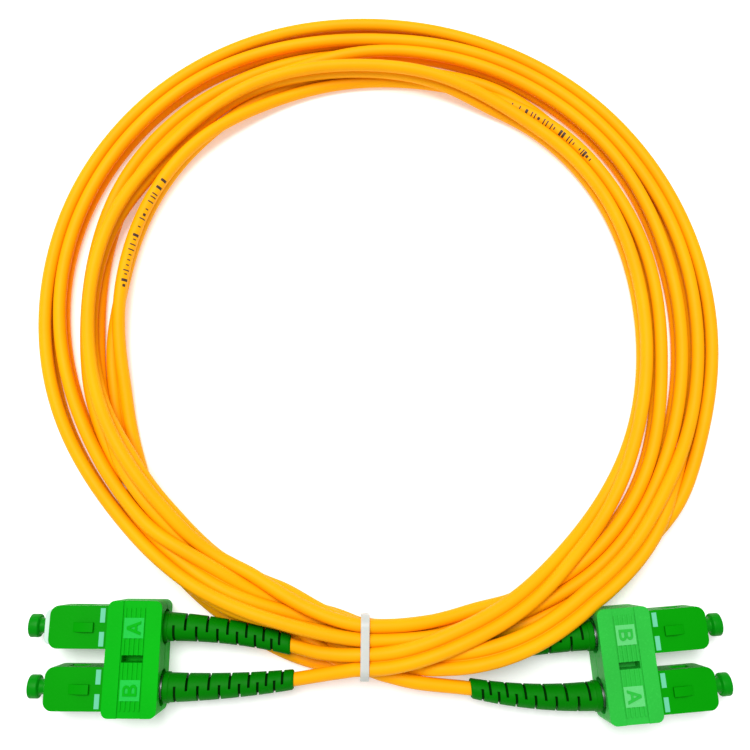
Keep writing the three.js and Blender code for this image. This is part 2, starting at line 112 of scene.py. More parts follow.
# The five turns of the coil. Each row is a place on the clock in degrees, from the tie and anticlockwise from
# above, then the radius and height of the pair's centre in mm, then how the pair is twisted: 0 puts the first
# cord outside, 90 on top, 180 inside and 270 below.
TURNS = [
    [
        (-3, 78.1, 8.6, 180), (9, 75.4, 10.2, 180), (18, 73.7, 9.4, 180), (27, 71.9, 8.2, 180),
        (36, 70.2, 6.6, 200), (46, 68.4, 5.0, 225), (57, 66.6, 3.4, 255), (70, 65.0, 3.0, 270),
        (84, 63.7, 3.0, 270), (100, 63.3, 3.0, 270), (127, 64.8, 3.0, 270), (148, 65.4, 4.5, 270),
        (165, 65.4, 5.9, 270), (181, 66.0, 5.9, 270), (202, 68.4, 6.0, 270), (224, 70.4, 6.0, 270),
        (246, 70.4, 6.0, 270), (267, 69.5, 6.2, 270), (287, 68.4, 6.8, 270), (300, 67.8, 7.5, 270),
        (312, 67.5, 6.5, 270), (325, 67.6, 5.5, 270), (340, 68.5, 7.0, 270), (350, 69.6, 7.1, 270),
    ],
    [
        (-3, 70.4, 7.0, 270), (9, 70.9, 6.0, 270), (18, 71.5, 4.2, 270), (27, 72.4, 3.2, 270),
        (36, 72.8, 3.0, 270), (46, 72.8, 3.0, 270), (57, 71.8, 3.0, 270), (67, 70.0, 3.0, 270),
        (78, 67.5, 3.0, 270), (90, 67.0, 3.0, 270), (116, 67.5, 3.0, 270), (140, 67.6, 2.6, 290),
        (155, 67.4, 1.5, 355), (181, 66.9, 1.5, 360), (205, 66.6, 1.6, 350), (224, 66.2, 3.0, 280),
        (246, 64.8, 3.0, 270), (267, 63.3, 3.0, 280), (277, 64.6, 2.0, 320), (290, 66.0, 1.5, 360),
        (307, 69.0, 1.5, 360), (318, 71.6, 1.5, 360), (333, 75.9, 1.5, 360), (346, 77.6, 1.5, 360),
    ],
    [
        (-3, 78.2, 2.5, 360), (5, 78.4, 4.5, 360), (11, 79.0, 8.0, 360), (17, 79.6, 10.0, 360),
        (26, 80.4, 11.0, 360), (35, 80.2, 12.8, 360), (45, 79.3, 9.5, 350), (55, 78.6, 7.5, 330),
        (65, 77.4, 5.0, 295), (75, 76.5, 3.5, 270), (85, 75.9, 3.0, 270), (117, 76.3, 3.0, 270),
        (140, 76.5, 4.5, 270), (155, 75.8, 6.8, 270), (181, 74.8, 7.2, 270), (200, 77.0, 6.0, 270),
        (213, 79.0, 6.0, 270), (223, 79.6, 6.0, 270), (245, 79.5, 4.5, 270), (266, 77.7, 3.5, 270),
        (287, 74.6, 3.5, 270), (306, 72.1, 5.0, 280), (318, 71.3, 7.0, 320), (328, 70.9, 6.5, 345),
        (336, 71.1, 4.0, 360), (343, 71.4, 2.7, 360), (350, 71.7, 2.5, 360),
    ],
    [
        (-3, 71.9, 2.5, 360), (9, 73.6, 2.2, 350), (18, 75.3, 2.4, 310), (27, 76.6, 3.0, 275),
        (36, 77.5, 3.0, 270), (46, 78.6, 3.0, 270), (55, 79.3, 3.2, 270), (65, 79.6, 3.4, 270),
        (75, 79.7, 3.0, 270), (96, 79.4, 3.0, 270), (117, 79.1, 3.0, 270), (138, 78.9, 3.0, 270),
        (155, 79.0, 3.0, 270), (181, 79.7, 3.0, 270), (202, 81.4, 3.0, 270), (218, 82.2, 3.0, 270),
        (245, 82.0, 3.4, 270), (266, 80.9, 3.2, 270), (286, 79.0, 3.0, 270), (306, 76.0, 4.0, 275),
        (316, 74.6, 7.0, 280), (325, 73.6, 9.2, 280), (334, 73.0, 9.8, 275), (343, 72.7, 8.5, 270),
        (350, 72.9, 7.4, 270),
    ],
    [
        (-3, 73.4, 7.0, 270), (9, 73.6, 6.2, 270), (18, 74.2, 4.4, 270), (31, 74.9, 3.0, 270),
        (45, 75.6, 3.0, 270), (55, 75.0, 3.0, 270), (65, 73.6, 3.0, 270), (75, 72.9, 3.0, 270),
        (85, 72.1, 3.0, 270), (106, 71.9, 3.0, 270), (127, 73.3, 3.0, 270), (149, 73.5, 3.0, 270),
        (181, 73.2, 3.0, 280), (202, 73.2, 1.8, 345), (223, 73.1, 1.5, 360), (245, 72.4, 1.5, 360),
        (266, 70.4, 1.5, 360), (285, 68.9, 1.8, 350), (300, 68.3, 4.5, 300), (316, 69.2, 4.0, 270),
        (334, 72.2, 3.2, 270), (345, 75.6, 4.0, 225), (357, 78.1, 5.5, 180),
    ],
]

# each cord's name and the plugs that it starts and ends in
ROUTES = (("cord_one", "left_a", "right_b"), ("cord_two", "left_b", "right_a"))
CLOCK_STEP = 2.0
FIRST_CLOCK = -20.0
LAST_CLOCK = 1820.0
LAST_TURN = 1800.0
# Where each cord enters its boot, and between which two places the cords are one pair.
IN_BOOT = {"left_a": -16.0, "left_b": -14.0, "right_b": 1816.0, "right_a": 1814.0}
JOINED = (-4.0, 1798.0)
# how far the tie holds the cords on each side of its place, and how far its exact places are felt
TIE_CLOCK = -3.0
TIE_REACH = 2.1
TIE_FADE = 8
# only this near the tie can the cords meet the boots and the clips
NEAR_TIE = 50
# between the middles of the two cords of the pair, and of any other two
PAIR = 3.03
GAP = 3.03

# How the cords settle. In each round they straighten, are drawn to their route, sink and keep apart.
ROUNDS = 700
CALM_FROM = 0.8
STRAIGHTENINGS = 8
SEPARATIONS = 4
DRAW = 0.04
CALM_DRAW = 0.01
TWIST_HOLD = 0.015
SINK = 0.02
PUSH_APART = 0.36
BLUR_REACH = 6
BOOT_SPARE = 0.1
CLIP_EDGE = 0.8


# ---- Places ----
def world(connector, x, y, z):
    """A point given beside a connector, in the part frame, in millimetres."""
    x0, y0, turn = CONNECTORS[connector]
    return np.array([
        x0 + x * math.cos(turn) - y * math.sin(turn),
        y0 + x * math.sin(turn) + y * math.cos(turn),
        z,
    ])


def boot_bend(along, lean):
    """How far sideways the boot has bent, at a place along its plug."""
    start = -CLIP["depth"]
    reach = max(0.0, (start - along) / (start - BOOT["to"]))
    return lean * reach * reach


def plug_point(name, along, across=0.0, height=AXIS_HEIGHT):
    """A point in or beside a plug, from how far it is along and across the plug's own line."""
    side, forward, lean = PLUGS[name]
    y = side * CHANNEL_PITCH / 2 + boot_bend(along, -side * lean) + across
    return world(name.split("_")[0], along + forward, y, height)


def polar(point):
    """A point's place on the coil's clock in degrees, and its radius."""
    x = point[0] - COIL_MIDDLE[0]
    y = point[1] - COIL_MIDDLE[1]
    return math.degrees(math.atan2(x, -y)), math.hypot(x, y)


def boot_radius_at(name, clock):
    """How far from the coil's middle a boot's own line is, at a place on the clock."""
    line = sorted(polar(plug_point(name, along)) for along in np.linspace(BOOT["from"], BOOT["to"], 60))
    return np.interp(clock, [c for c, _ in line], [r for _, r in line])


def from_tie(stations):
    """How many degrees of the clock each station is from the tie."""
    return np.abs((stations - TIE_CLOCK + 180) % 360 - 180)


# ---- The settled cords ----
def coil_rows():
    """The rows of all the turns, on one clock that runs on, with the twist never jumping."""
    clock, radius, height, twist = [], [], [], []
    for turn, rows in enumerate(TURNS):
        for at, r, z, w in rows:
            while twist and w - twist[-1] > 180:
                w -= 360
            while twist and w - twist[-1] < -180:
                w += 360
            clock.append(360.0 * turn + at)
            radius.append(r)
            height.append(z)
            twist.append(w)
    return clock, radius, height, twist


def at_stations(stations, clock, values):
    """The values of the rows at every station, with their corners blurred except at the tie."""
    blur = np.hanning(2 * BLUR_REACH + 1)
    blur /= blur.sum()
    exact = np.exp(-(from_tie(stations) / TIE_FADE) ** 2)
    v = np.interp(stations, clock, values)
    soft = np.convolve(np.pad(v, BLUR_REACH, mode="edge"), blur, mode="valid")
    return soft + exact * (v - soft)


def first_shape(stations):
    """Both cords' radius and height at each station, where they are free, and the pair's wanted radius."""
    clock, radius, height, twist = coil_rows()
    r = at_stations(stations, clock, radius)
    z = at_stations(stations, clock, height)
    w = np.radians(at_stations(stations, clock, twist))
    out = r + PAIR / 2 * np.stack([np.cos(w), -np.cos(w)])
    up = z + PAIR / 2 * np.stack([np.sin(w), -np.sin(w)])
    free = np.ones_like(out, bool)
    for cord, (_, start, end) in enumerate(ROUTES):
        lead_in(start, 1, JOINED[0], 0.0, stations, out[cord], up[cord], free[cord])
        lead_in(end, -1, JOINED[1], LAST_TURN, stations, out[cord], up[cord], free[cord])
    return out, up, free, r


def lead_in(name, sign, join, shift, stations, out, up, free):
    """Holds a cord in its boot, and gives it an even run from there to where the pair starts."""
    edge = IN_BOOT[name]
    inside = (stations - edge) * sign <= 0
    out[inside] = boot_radius_at(name, stations[inside] - shift)
    up[inside] = AXIS_HEIGHT
    free[inside] = False
    between = ((stations - join) * sign < 0) & ~inside
    t = (stations[between] - edge) / (join - edge)
    t = t * t * (3 - 2 * t)
    at_join = np.argmin(np.abs(stations - join))
    at_boot = np.argmin(np.abs(stations - edge))
    out[between] = (1 - t) * out[at_boot] + t * out[at_join]
    up[between] = (1 - t) * AXIS_HEIGHT + t * up[at_join]


def crossing_pairs(stations):
    """Every two points of the cords that pass the same place on the clock."""
    count = len(stations)
    at = np.round((stations % 360) / CLOCK_STEP).astype(int)
    first, second = [], []
    for place in range(int(360 / CLOCK_STEP)):
        here = np.where(at == place)[0]
        here = np.concatenate([here, here + count])
        a, b = np.triu_indices(len(here), 1)
        first.append(here[a])
        second.append(here[b])
    return np.concatenate(first), np.concatenate(second)


def clear_of_boots(x, y, z, away, loose):
    """How far each point has to move outwards and upwards to lie clear of the boots."""
    move_out = np.zeros_like(x)
    move_up = np.zeros_like(x)
    alongs = np.linspace(BOOT["from"] + 2, BOOT["to"], 40)
    radii = np.linspace(BOOT["base"], BOOT["tip"], 40)
    for name in PLUGS:
        line = np.array([plug_point(name, along)[:2] for along in alongs])
        dx = x[..., None] - line[:, 0]
        dy = y[..., None] - line[:, 1]
        k = np.argmin(np.hypot(dx, dy), axis=-1)[..., None]
        dx = np.take_along_axis(dx, k, -1)[..., 0]
        dy = np.take_along_axis(dy, k, -1)[..., 0]
        dz = z - AXIS_HEIGHT
        size = np.sqrt(dx**2 + dy**2 + dz**2)
        need = radii[k[..., 0]] + CORD_RADIUS + BOOT_SPARE
        push = np.where(loose & (size < need), need - size, 0.0) / 2 / np.maximum(size, 1e-3)
        move_out += push * (dx * away[0] + dy * away[1])
        move_up += push * dz
    return move_out, move_up


def clear_of_clips(x, y, z, away, loose):
    """How far each point has to move outwards and upwards to lie clear of the clips."""
    move_out = np.zeros_like(x)
    move_up = np.zeros_like(x)
    corner = CLIP["corner"]
    half = CLIP["length"] / 2
    for x0, y0, turn in CONNECTORS.values():
        across = (x - x0) * math.cos(turn) + (y - y0) * math.sin(turn)
        along = -(x - x0) * math.sin(turn) + (y - y0) * math.cos(turn)
        dx = across - np.clip(across, corner - CLIP["depth"], -corner)
        dy = along - np.clip(along, corner - half, half - corner)
        dz = z - np.clip(z, 0, CLIP["height"] - CLIP_EDGE)
        size = np.sqrt(dx**2 + dy**2 + dz**2)
        need = CORD_RADIUS + np.where(np.hypot(dx, dy) < 1e-3, CLIP_EDGE, corner)
        push = np.where(loose & (size < need), need - size, 0.0) / 2 / np.maximum(size, 1e-3)
        flat_x = dx * math.cos(turn) - dy * math.sin(turn)
        flat_y = dx * math.sin(turn) + dy * math.cos(turn)
        move_out += push * (flat_x * away[0] + flat_y * away[1])
        move_up += push * dz
    return move_out, move_up


def straighten(out, up, free):
    """One step of the cords' stiffness: each free point goes towards an even bend with its neighbours."""
    for v in (out, up):
        bend = v[:, :-4] - 4 * v[:, 1:-3] + 6 * v[:, 2:-2] - 4 * v[:, 3:-1] + v[:, 4:]
        v[:, 2:-2] -= np.where(free[:, 2:-2], bend / 16, 0.0)


def hold_twist(out, up, pair_out, pair_up, held):
    """Turns the pair a little towards the twist that it started with."""
    turn_out = held * (pair_out - (out[0] - out[1]))
    turn_up = held * (pair_up - (up[0] - up[1]))
    out += np.stack([turn_out, -turn_out])
    up += np.stack([turn_up, -turn_up])


def keep_joined(out, up, joined):
    """Puts the two cords of the pair back at their distance."""
    d_out, d_up = out[1] - out[0], up[1] - up[0]
    size = np.hypot(d_out, d_up)
    fix = np.where(joined, 0.5 * (size - PAIR) / np.maximum(size, 1e-6), 0.0)
    out += np.stack([fix * d_out, -fix * d_out])
    up += np.stack([fix * d_up, -fix * d_up])


def push_apart(out, up, free, a, b):
    """Moves cords that overlap away from each other."""
    r, z = out.ravel(), up.ravel()
    d_out, d_up = r[b] - r[a], z[b] - z[a]
    size = np.hypot(d_out, d_up)
    hit = size < GAP
    share = PUSH_APART * (GAP - size[hit]) / np.maximum(size[hit], 1e-3)
    for v, d in ((out, d_out[hit]), (up, d_up[hit])):
        move = np.zeros(v.size)
        np.add.at(move, b[hit], share * d)
        np.add.at(move, a[hit], -share * d)
        v += np.where(free, move.reshape(v.shape), 0.0)


def clear_plugs(out, up, near, away, loose):
    """Moves the cords off the boots and the clips."""
    for clear in (clear_of_boots, clear_of_clips):
        x = COIL_MIDDLE[0] + out[:, near] * away[0, near]
        y = COIL_MIDDLE[1] + out[:, near] * away[1, near]
        move_out, move_up = clear(x, y, up[:, near], away[:, near], loose)
        out[:, near] += move_out
        up[:, near] += move_up


def settled_cords():
    """Both cords at rest: they keep off each other, the boots, the clips and the floor, and hold their pair.

    Each point stays at its place on the clock and moves outwards and upwards only."""
    stations = np.arange(FIRST_CLOCK, LAST_CLOCK + CLOCK_STEP / 2, CLOCK_STEP)
    out, up, free, wanted = first_shape(stations)
    joined = (stations >= JOINED[0]) & (stations <= JOINED[1])
    a, b = crossing_pairs(stations)
    angle = np.radians(stations)
    away = np.stack([np.sin(angle), -np.cos(angle)])
    in_tie = from_tie(stations) < TIE_REACH
    tie_out, tie_up = out[:, in_tie].copy(), up[:, in_tie].copy()
    pair_out, pair_up = out[0] - out[1], up[0] - up[1]
    held = TWIST_HOLD * (joined & free[0] & free[1])
    near = np.where(from_tie(stations) < NEAR_TIE)[0]
    loose = free[:, near] & (stations[near] >= -8) & (stations[near] <= LAST_TURN + 6)
    rounds = ROUNDS
    for step in range(rounds):
        calm = step > CALM_FROM * rounds
        for _ in range(STRAIGHTENINGS):
            straighten(out, up, free)
        pull = np.where(joined, wanted - (out[0] + out[1]) / 2, 0.0)
        out += np.where(free, (CALM_DRAW if calm else DRAW) * pull, 0.0)
        hold_twist(out, up, pair_out, pair_up, held)
        if not calm:
            up -= np.where(free, SINK, 0.0)
        for _ in range(SEPARATIONS):
            keep_joined(out, up, joined)
            push_apart(out, up, free, a, b)
            clear_plugs(out, up, near, away, loose)
            out[:, in_tie] += 0.5 * (tie_out - out[:, in_tie])
            up[:, in_tie] += 0.5 * (tie_up - up[:, in_tie])
            up[:] = np.where(free, np.maximum(up, CORD_RADIUS), up)
    x = COIL_MIDDLE[0] + out * away[0]
    y = COIL_MIDDLE[1] + out * away[1]
    return stations, np.stack([x, y, up], axis=-1)


def whole_cord(points, stations, start, end):
    """One cord from the crimp in one boot to the crimp in the other."""
    handover = BOOT["to"] + CORD_HANDOVER
    start_clock = polar(plug_point(start, handover))[0]
    end_clock = polar(plug_point(end, handover))[0] + LAST_TURN
    inner = (stations > start_clock) & (stations < end_clock)
    alongs = np.linspace(CORD_START, handover, 10)
    head = [plug_point(start, along) for along in alongs]
    tail = [plug_point(end, along) for along in alongs[::-1]]
    return np.concatenate([head, points[inner], tail])


def tube_line(points, factor):
    """The same line, evenly rounded through its points, with the given number of steps between them."""
    steps = np.linspace(0, len(points) - 1, (len(points) - 1) * factor + 1)
    whole = np.clip(steps.astype(int), 0, len(points) - 2)
    t = (steps - whole)[:, None]
    before = points[np.maximum(whole - 1, 0)]
    here = points[whole]
    there = points[whole + 1]
    after = points[np.minimum(whole + 2, len(points) - 1)]
    return 0.5 * (2 * here + (there - before) * t + (2 * before - 5 * here + 4 * there - after) * t**2
                  + (3 * here - before - 3 * there + after) * t**3)


# ---- Materials ----
DRIFT_SCALE = 55.0
COAT_ROUGHNESS = 0.25
THROUGH_DEPTH = 0.0008
BUMP_DEPTH = 0.0002
# how far the gloss goes below and above a material's roughness
GLOSS_BELOW = 0.08
GLOSS_ABOVE = 0.1


def material(name, color, rough, metal=0.0, speckle=0.0, grain=(900.0, 0.06), tone=0.0, coat=0.0,
             through=0.0, specular=0.5):
    """A moulded or metal surface: its colour drifts a little, it has a fine grain, and its gloss varies.

    grain is the fine noise's scale and how strongly it shows as bumps. tone is how far the colour drifts."""
    made = bpy.data.materials.new(name)
    made.use_nodes = True
    nodes = made.node_tree.nodes
    links = made.node_tree.links
    shader = nodes["Principled BSDF"]
    shader.inputs["Metallic"].default_value = metal
    shader.inputs["Specular IOR Level"].default_value = specular
    shader.inputs["Coat Weight"].default_value = coat
    shader.inputs["Coat Roughness"].default_value = COAT_ROUGHNESS
    if through:
        shader.inputs["Subsurface Weight"].default_value = through
        shader.inputs["Subsurface Radius"].default_value = (1.0, 0.6, 0.3)
        shader.inputs["Subsurface Scale"].default_value = THROUGH_DEPTH
    place = nodes.new("ShaderNodeTexCoord").outputs["Object"]
    drift = noise(nodes, links, place, DRIFT_SCALE, 3.0)
    fine = noise(nodes, links, place, grain[0], 4.0)
    colour = drifting_colour(nodes, links, drift, color, tone)
    if speckle:
        colour = speckled(nodes, links, fine, colour, color, speckle)
    links.new(colour, shader.inputs["Base Color"])
    gloss = nodes.new("ShaderNodeMapRange")
    gloss.inputs["To Min"].default_value = max(0.02, rough - GLOSS_BELOW)
    gloss.inputs["To Max"].default_value = min(1.0, rough + GLOSS_ABOVE)
    links.new(fine, gloss.inputs["Value"])
    links.new(gloss.outputs["Result"], shader.inputs["Roughness"])
    bump = nodes.new("ShaderNodeBump")
    bump.inputs["Strength"].default_value = grain[1]
    bump.inputs["Distance"].default_value = BUMP_DEPTH
    links.new(fine, bump.inputs["Height"])
    links.new(bump.outputs["Normal"], shader.inputs["Normal"])
    return made


def noise(nodes, links, place, scale, detail):
    """A noise over the object's own coordinates."""
    node = nodes.new("ShaderNodeTexNoise")
    node.inputs["Scale"].default_value = scale
    node.inputs["Detail"].default_value = detail
    links.new(place, node.inputs["Vector"])
    return node.outputs["Fac"]


def drifting_colour(nodes, links, drift, color, tone):
    """The colour, a share darker in some places and as much lighter in others."""
    ramp = nodes.new("ShaderNodeValToRGB")
    low, high = ramp.color_ramp.elements
    low.position = 0.3
    low.color = (*[c * (1 - tone) for c in color], 1)
    high.position = 0.7
    high.color = (*[min(1.0, c * (1 + tone)) for c in color], 1)
    links.new(drift, ramp.inputs["Fac"])
    return ramp.outputs["Color"]


def speckled(nodes, links, fine, colour, color, speckle):
    """The colour with small lighter specks in it."""
    spots = nodes.new("ShaderNodeMapRange")
    spots.inputs["From Min"].default_value = 0.55
    spots.inputs["From Max"].default_value = 0.75
    spots.inputs["To Max"].default_value = speckle
    links.new(fine, spots.inputs["Value"])
    mix = nodes.new("ShaderNodeMix")
    mix.data_type = "RGBA"
    links.new(spots.outputs["Result"], mix.inputs["Factor"])
    links.new(colour, mix.inputs["A"])
    mix.inputs["B"].default_value = (*[min(1.0, c * 1.8 + 0.04) for c in color], 1)
    return mix.outputs["Result"]


MATERIALS = {
    "jacket": material("jacket_pvc", (1.0, 0.41, 0.0), 0.5, tone=0.05, grain=(1400.0, 0.12), specular=0.1),
    "clip_left": material(
        "clip_satin_left", (0.0, 0.40, 0.004), 0.5, tone=0.06, grain=(2200.0, 0.2), speckle=0.04,
        specular=0.05),
    "clip_right": material(
        "clip_satin_right", (0.015, 0.43, 0.035), 0.5, tone=0.07, grain=(2200.0, 0.25), speckle=0.14,
        specular=0.2),
    "pad_left": material(
        "pad_left", (0.01, 0.50, 0.05), 0.5, tone=0.06, grain=(3000.0, 0.3), speckle=0.15, specular=0.1),
    "pad_right": material(
        "pad_right", (0.10, 0.56, 0.15), 0.5, tone=0.06, grain=(3000.0, 0.3), speckle=0.2, specular=0.2),
    "grip": material("grip_satin", (0.0, 0.29, 0.0), 0.45, tone=0.05, grain=(1800.0, 0.12), specular=0.05),
    "frame": material("frame_pale", (0.55, 0.72, 0.63), 0.4, tone=0.03, grain=(1500.0, 0.06)),
    "mark": material("mark_aqua", (0.13, 0.56, 0.33), 0.45, tone=0.05, grain=(1500.0, 0.1), specular=0.2),
    "cap": material("cap_moulded", (0.0, 0.25, 0.003), 0.4, tone=0.06, grain=(1600.0, 0.12), specular=0.08),
    "boot": material("boot_rubber", (0.0, 0.175, 0.0), 0.5, tone=0.08, grain=(1500.0, 0.3), specular=0.06),
    # near-black painted shade for the sleeve that shows through the boot's slots, standing in for the shaded
    # cord inside
    "slot_painted_shade": material(
        "boot_slot_painted_shade", (0.0, 0.02, 0.0), 0.8, tone=0.1, grain=(1500.0, 0.2), specular=0.05),
    "tie": material("tie_nylon", (0.55, 0.57, 0.53), 0.4, tone=0.04, grain=(900.0, 0.1), through=0.2),
    "print": material("print_ink", (0.055, 0.02, 0.004), 0.6, tone=0.2, grain=(2500.0, 0.1)),
    "ceramic": material("zirconia", (0.85, 0.85, 0.82), 0.12, tone=0.01, coat=0.4),
    "steel": material("steel_turned", (0.62, 0.63, 0.65), 0.3, metal=1.0, tone=0.04, grain=(4000.0, 0.1)),
    "brass": material("brass_turned", (0.75, 0.52, 0.2), 0.3, metal=1.0, tone=0.06, grain=(4000.0, 0.1)),
    "buffer": material("buffer_nylon", (0.80, 0.78, 0.70), 0.45, tone=0.03),
}


# ---- Making pieces ----
def add_piece(name, data, finish, body, replaces=()):
    """A named piece from a mesh, riding on a body, and standing in for the CAD nodes that it replaces."""
    piece = bpy.data.objects.new(name, data)
    bpy.context.scene.collection.objects.link(piece)
    if not data.materials:
        data.materials.append(MATERIALS[finish])
    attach(piece, body)
    if replaces:
        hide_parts(*replaces)
    return piece


def mesh_from(vertices, faces, smooth=True):
    """A mesh from points in millimetres, with its faces turned outwards."""
    data = bpy.data.meshes.new("mesh")
    data.from_pydata([tuple(c * MM for c in v) for v in vertices], [], faces)
    shape = bmesh.new()
    shape.from_mesh(data)
    bmesh.ops.recalc_face_normals(shape, faces=shape.faces)
    shape.to_mesh(data)
    shape.free()
    for face in data.polygons:
        face.use_smooth = smooth
    return data


def edges_rounded(piece, width):
    """Welds a piece's shared points, joins its flat faces and rounds its sharp edges."""
    weld = piece.modifiers.new("weld", "WELD")
    weld.merge_threshold = 1e-6
    flat = piece.modifiers.new("flat", "DECIMATE")
    flat.decimate_type = "DISSOLVE"
    flat.angle_limit = math.radians(0.5)
    bevel = piece.modifiers.new("bevel", "BEVEL")
    bevel.width = width * MM
    bevel.segments = 2
    bevel.limit_method = "ANGLE"
    bevel.angle_limit = math.radians(35)
    normals = piece.modifiers.new("normals", "WEIGHTED_NORMAL")
    normals.keep_sharp = True
    normals.weight = 60
    for face in piece.data.polygons:
        face.use_smooth = True


def finish_cad(node, finish, width=0.0):
    """A CAD node that stays: it gets its material and softer edges."""
    piece = frame["nodes"][node]
    for slot in piece.material_slots:
        slot.material = MATERIALS[finish]
    if not piece.material_slots:
        piece.data.materials.append(MATERIALS[finish])
    if width:
        edges_rounded(piece, width)


# ---- Camera, light and floor ----
CAMERA = {"lens": 40.8, "place": (-0.00568, 0.02132, 0.20118), "turns": (12.334, -1.218, 0.518)}
KEY_LIGHT = {"place": (-0.12, 0.25, 0.74), "target": (0, 0.07, 0), "size": 0.45, "power": 5.6}
WORLD_STRENGTH = 0.5
FLOOR = {"reach": 3.0, "height": -0.0001, "glow": 0.25}
WHITE = (1, 1, 1, 1)


def build_camera():
    data = bpy.data.cameras.new("camera")
    data.sensor_width = 36.0
    data.lens = CAMERA["lens"]
    data.clip_start = 0.01
    data.clip_end = 10.0
    camera = bpy.data.objects.new("camera", data)
    camera.location = CAMERA["place"]
    camera.rotation_euler = [math.radians(turn) for turn in CAMERA["turns"]]
    bpy.context.scene.collection.objects.link(camera)
    bpy.context.scene.camera = camera


def build_key_light():
    data = bpy.data.lights.new("key", "AREA")
    data.shape = "DISK"
    data.size = KEY_LIGHT["size"]
    data.energy = KEY_LIGHT["power"]
    light = bpy.data.objects.new("key", data)
    light.location = KEY_LIGHT["place"]
    towards = Vector(KEY_LIGHT["target"]) - Vector(KEY_LIGHT["place"])
    light.rotation_euler = towards.to_track_quat("-Z", "Y").to_euler()
    bpy.context.scene.collection.objects.link(light)


def build_world():
    world_light = bpy.data.worlds.new("studio")
    world_light.use_nodes = True
    background = world_light.node_tree.nodes["Background"]
    background.inputs["Color"].default_value = WHITE
    background.inputs["Strength"].default_value = WORLD_STRENGTH
    bpy.context.scene.world = world_light
    bpy.context.scene.view_settings.view_transform = "Standard"


def build_floor():
    """A white floor that glows a little, so that shadows on it stay pale."""
    data = bpy.data.meshes.new("floor")
    reach = FLOOR["reach"]
    corners = [(-reach, -reach, 0), (reach, -reach, 0), (reach, reach, 0), (-reach, reach, 0)]
    data.from_pydata(corners, [], [(0, 1, 2, 3)])
    floor = bpy.data.objects.new("floor", data)
    floor.location.z = FLOOR["height"]
    finish = material("floor_paint", (0.93, 0.93, 0.93), 0.9, tone=0.004, grain=(60.0, 0.0), specular=0.1)
    shader = finish.node_tree.nodes["Principled BSDF"]
    shader.inputs["Emission Color"].default_value = WHITE
    shader.inputs["Emission Strength"].default_value = FLOOR["glow"]
    data.materials.append(finish)
    bpy.context.scene.collection.objects.link(floor)


# ---- Cord pieces ----
def frames_along(line):
    """Unit vectors along a line, and level and upward ones across it."""
    ahead = np.gradient(line, axis=0)
    ahead /= np.linalg.norm(ahead, axis=1)[:, None]
    level = np.cross(ahead, [0.0, 0.0, 1.0])
    level /= np.linalg.norm(level, axis=1)[:, None]
    upward = np.cross(level, ahead)
    return ahead, level, upward


def tube_faces(rings, sides):
    """The faces of a closed tube, whose points come ring by ring."""
    faces = []
    for i in range(rings - 1):
        for k in range(sides):
            a, b = i * sides + k, i * sides + (k + 1) % sides
            faces.append((a, b, b + sides, a + sides))
    faces.append(tuple(range(sides)))
    last = (rings - 1) * sides
    faces.append(tuple(last + k for k in reversed(range(sides))))
    return faces


def tube(line, radius, sides):
    """A closed round tube along a line."""
    _, level, upward = frames_along(line)
    vertices = []
    for i, point in enumerate(line):
        for k in range(sides):
            angle = 2 * math.pi * k / sides
            vertices.append(point + radius * (math.cos(angle) * level[i] + math.sin(angle) * upward[i]))
    return mesh_from(vertices, tube_faces(len(line), sides))


# Where the cord carries its row of printed marks: turn, clock from and to, and how far round from the top.
PRINT_RUNS = [(1, 128, 166, 35), (1, 236, 262, 40)]
MARK = {
    "pitch": 1.35, "long": 0.32, "short_turn": 14.0, "tall_turn": 30.0, "lift": 0.012, "steps": 5, "seed": 7,
}
MARK_LINE_STEPS = 4
CORD_LINE_STEPS = 2
# how many degrees of the clock the web stops short of the joined stretch, at its start and its end
WEB_SHORT = (2, 4)


def printed_marks(points, stations, name):
    """Short strokes of different heights across the cord, standing for its printed line."""
    strokes = random.Random(MARK["seed"])
    line = tube_line(points, MARK_LINE_STEPS)
    clocks = np.interp(np.arange(len(line)) / MARK_LINE_STEPS, np.arange(len(stations)), stations)
    ahead, level, upward = frames_along(line)
    travelled = np.concatenate([[0], np.cumsum(np.linalg.norm(np.diff(line, axis=0), axis=1))])
    radius = CORD_RADIUS + MARK["lift"]
    steps = MARK["steps"]
    vertices, faces = [], []
    for turn, start, end, tilt in PRINT_RUNS:
        at, last = np.interp([360 * turn + start, 360 * turn + end], clocks, travelled)
        while at < last:
            at += MARK["pitch"] * strokes.choice([0.7, 1.0, 1.0, 1.6])
            reach = strokes.choice([MARK["short_turn"], MARK["tall_turn"], MARK["tall_turn"]])
            wide = MARK["long"] * strokes.choice([1.0, 1.0, 2.2])
            base = len(vertices)
            for across in (0.0, wide):
                k = min(int(np.searchsorted(travelled, at + across)), len(line) - 1)
                centre = line[k] + ahead[k] * (at + across - travelled[k])
                for step in range(steps + 1):
                    angle = math.radians(90 + tilt + reach * (step / steps - 0.5) * 2)
                    side = math.cos(angle) * level[k] + math.sin(angle) * upward[k]
                    vertices.append(centre + radius * side)
            for step in range(steps):
                a = base + step
                faces.append((a, a + 1, a + steps + 2, a + steps + 1))
    return add_piece(name, mesh_from(vertices, faces), "print", "cord_set")


def build_cords():
    """The two cords from plug to plug, the web that joins them, and the printed marks."""
    stations, both = settled_cords()
    joined = (stations >= JOINED[0] + WEB_SHORT[0]) & (stations <= JOINED[1] - WEB_SHORT[1])
    web_line = tube_line((both[0][joined] + both[1][joined]) / 2, CORD_LINE_STEPS)
    web = add_piece("cord_web", tube(web_line, WEB_RADIUS, 8), "jacket", "cord_set")
    for number, (name, start, end) in enumerate(ROUTES):
        line = tube_line(whole_cord(both[number], stations, start, end), CORD_LINE_STEPS)
        nodes = [f"cord_end_{start}", f"cord_end_{end}"] + (["cord_coil"] if number == 0 else [])
        piece = add_piece(name, tube(line, CORD_RADIUS, 20), "jacket", "cord_set", nodes)
        extra = [printed_marks(both[1], stations, "cord_print")] if number == 1 else [web]
        exit_point = plug_point(start, BOOT["to"]) * MM


